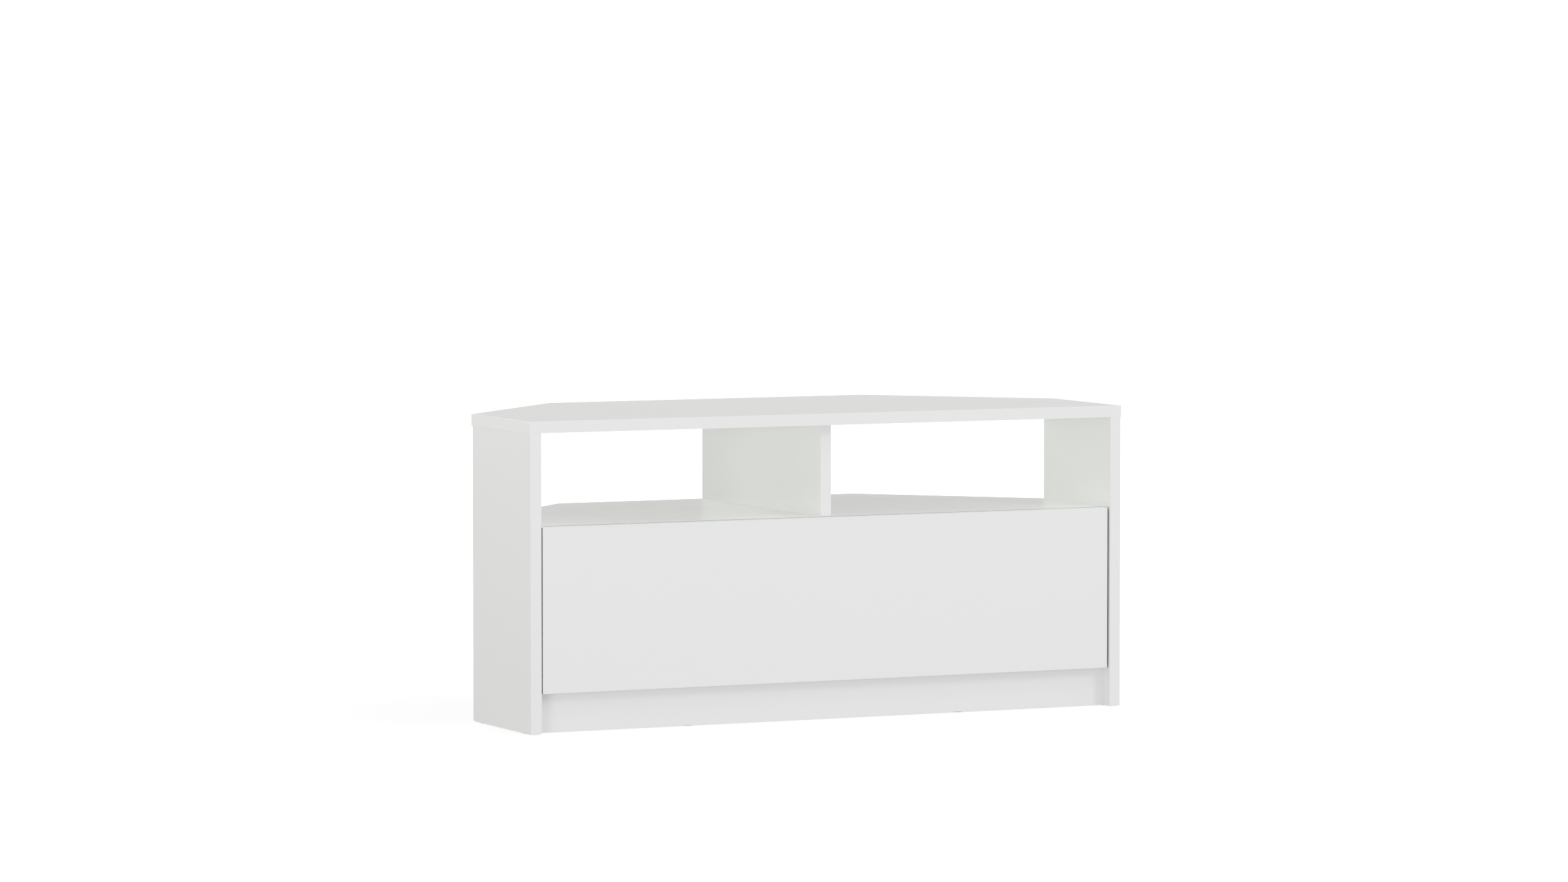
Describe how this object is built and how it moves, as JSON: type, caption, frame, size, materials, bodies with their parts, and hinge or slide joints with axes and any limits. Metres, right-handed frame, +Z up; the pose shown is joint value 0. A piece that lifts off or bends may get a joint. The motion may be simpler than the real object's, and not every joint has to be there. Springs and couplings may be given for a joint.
{
  "type": "corner media cabinet",
  "caption": "Low white media cabinet for a corner: six-sided top, open niches, wide drop-down flap without a handle, plinth base.",
  "frame": {"origin": "on the floor, under the middle of the footprint's bounding rectangle", "axes": "+Z up; X across the front; -Y towards the room, so the flap is at -Y and the straight back edge at +Y"},
  "size_m": [1.004, 0.452, 0.47],
  "materials": {
    "white_board": "white melamine-faced particle board, fine satin texture",
    "front_white": "front board: a cooler white, melamine-faced, satin",
    "edge_band": "white edge banding, satin",
    "hardboard": "hardboard, brown outside",
    "beech": "fluted beech dowel",
    "zinc": "nickel-plated pressed steel and zinc",
    "steel": "zinc-plated steel",
    "grey_plastic": "moulded grey plastic",
    "white_plastic": "moulded white plastic",
    "clear_rubber": "clear soft bumper",
    "black_foam": "black closed-cell foam seal"
  },
  "bodies": {
    "carcass": {"top_board": "white_board", "top_edge_band": "edge_band", "left_side": "white_board", "right_side": "white_board", "side_edge_bands": "edge_band", "divider": "white_board", "divider_edge_bands": "edge_band", "middle_shelf": "white_board", "bottom_shelf": "white_board", "shelf_edge_bands": "edge_band", "front_plinth": "front_white", "shelf_seal": "black_foam", "back_board": "white_board", "rear_plinth": "white_board", "left_back_panel": "hardboard", "right_back_panel": "hardboard", "back_panel_nails": "steel", "dowels": "beech", "cam_housings": "zinc", "cam_bolts": "steel", "confirmat_screws": "zinc", "glides": "grey_plastic", "left_hinge_arm": "zinc", "right_hinge_arm": "zinc", "left_hinge_plate": "zinc", "right_hinge_plate": "zinc", "hinge_plate_screws": "steel", "hinge_arm_screws": "steel", "left_stay_base": "zinc", "right_stay_base": "zinc", "stay_base_screws": "steel", "latch_housing": "grey_plastic", "latch_screws": "steel"},
    "door": {"door_panel": "front_white", "door_edge_band": "edge_band", "flap_end_seals": "black_foam", "left_hinge_cup": "zinc", "right_hinge_cup": "zinc", "hinge_pins": "steel", "hinge_cup_screws": "steel", "left_stay_bracket": "zinc", "right_stay_bracket": "zinc", "stay_bracket_pins": "steel", "stay_bracket_screws": "steel", "strike_plate": "steel", "strike_screw": "steel", "door_bumpers": "clear_rubber"},
    "left_stay_swivel_body": {"left_stay_swivel": "grey_plastic", "left_brake_screw": "zinc"},
    "right_stay_swivel_body": {"right_stay_swivel": "grey_plastic", "right_brake_screw": "zinc"},
    "left_stay_rod_body": {"left_stay_rod": "steel", "left_rod_stop": "grey_plastic"},
    "right_stay_rod_body": {"right_stay_rod": "steel", "right_rod_stop": "grey_plastic"},
    "latch_plunger_body": {"latch_plunger": "white_plastic", "latch_magnet": "steel"}
  },
  "joints": [
    {"name": "door_hinge", "type": "hinge", "parent": "carcass", "child": "door", "pos_m": [0, -0.2165, 0.068], "axis": [1, 0, 0], "range_deg": [0, 90]},
    {"name": "left_swivel_hinge", "type": "hinge", "parent": "carcass", "child": "left_stay_swivel_body", "pos_m": [-0.4685, -0.15448, 0.15336], "axis": [1, 0, 0], "range_deg": [0, 45]},
    {"name": "right_swivel_hinge", "type": "hinge", "parent": "carcass", "child": "right_stay_swivel_body", "pos_m": [0.4685, -0.15448, 0.15336], "axis": [1, 0, 0], "range_deg": [0, 45]},
    {"name": "left_rod_hinge", "type": "hinge", "parent": "door", "child": "left_stay_rod_body", "pos_m": [-0.4685, -0.196, 0.1715], "axis": [1, 0, 0], "range_deg": [-45, 0]},
    {"name": "right_rod_hinge", "type": "hinge", "parent": "door", "child": "right_stay_rod_body", "pos_m": [0.4685, -0.196, 0.1715], "axis": [1, 0, 0], "range_deg": [-45, 0]},
    {"name": "latch_slide", "type": "slide", "parent": "carcass", "child": "latch_plunger_body", "axis": [0, -1, 0], "range_m": [0, 0.012]}
  ],
  "couplings": [
    {"joint": "left_swivel_hinge", "follows": "door_hinge", "ratio": 0.5},
    {"joint": "right_swivel_hinge", "follows": "door_hinge", "ratio": 0.5},
    {"joint": "left_rod_hinge", "follows": "door_hinge", "ratio": -0.5},
    {"joint": "right_rod_hinge", "follows": "door_hinge", "ratio": -0.5},
    {"joint": "latch_slide", "follows": "door_hinge", "m_per_rad": 0.007639}
  ]
}
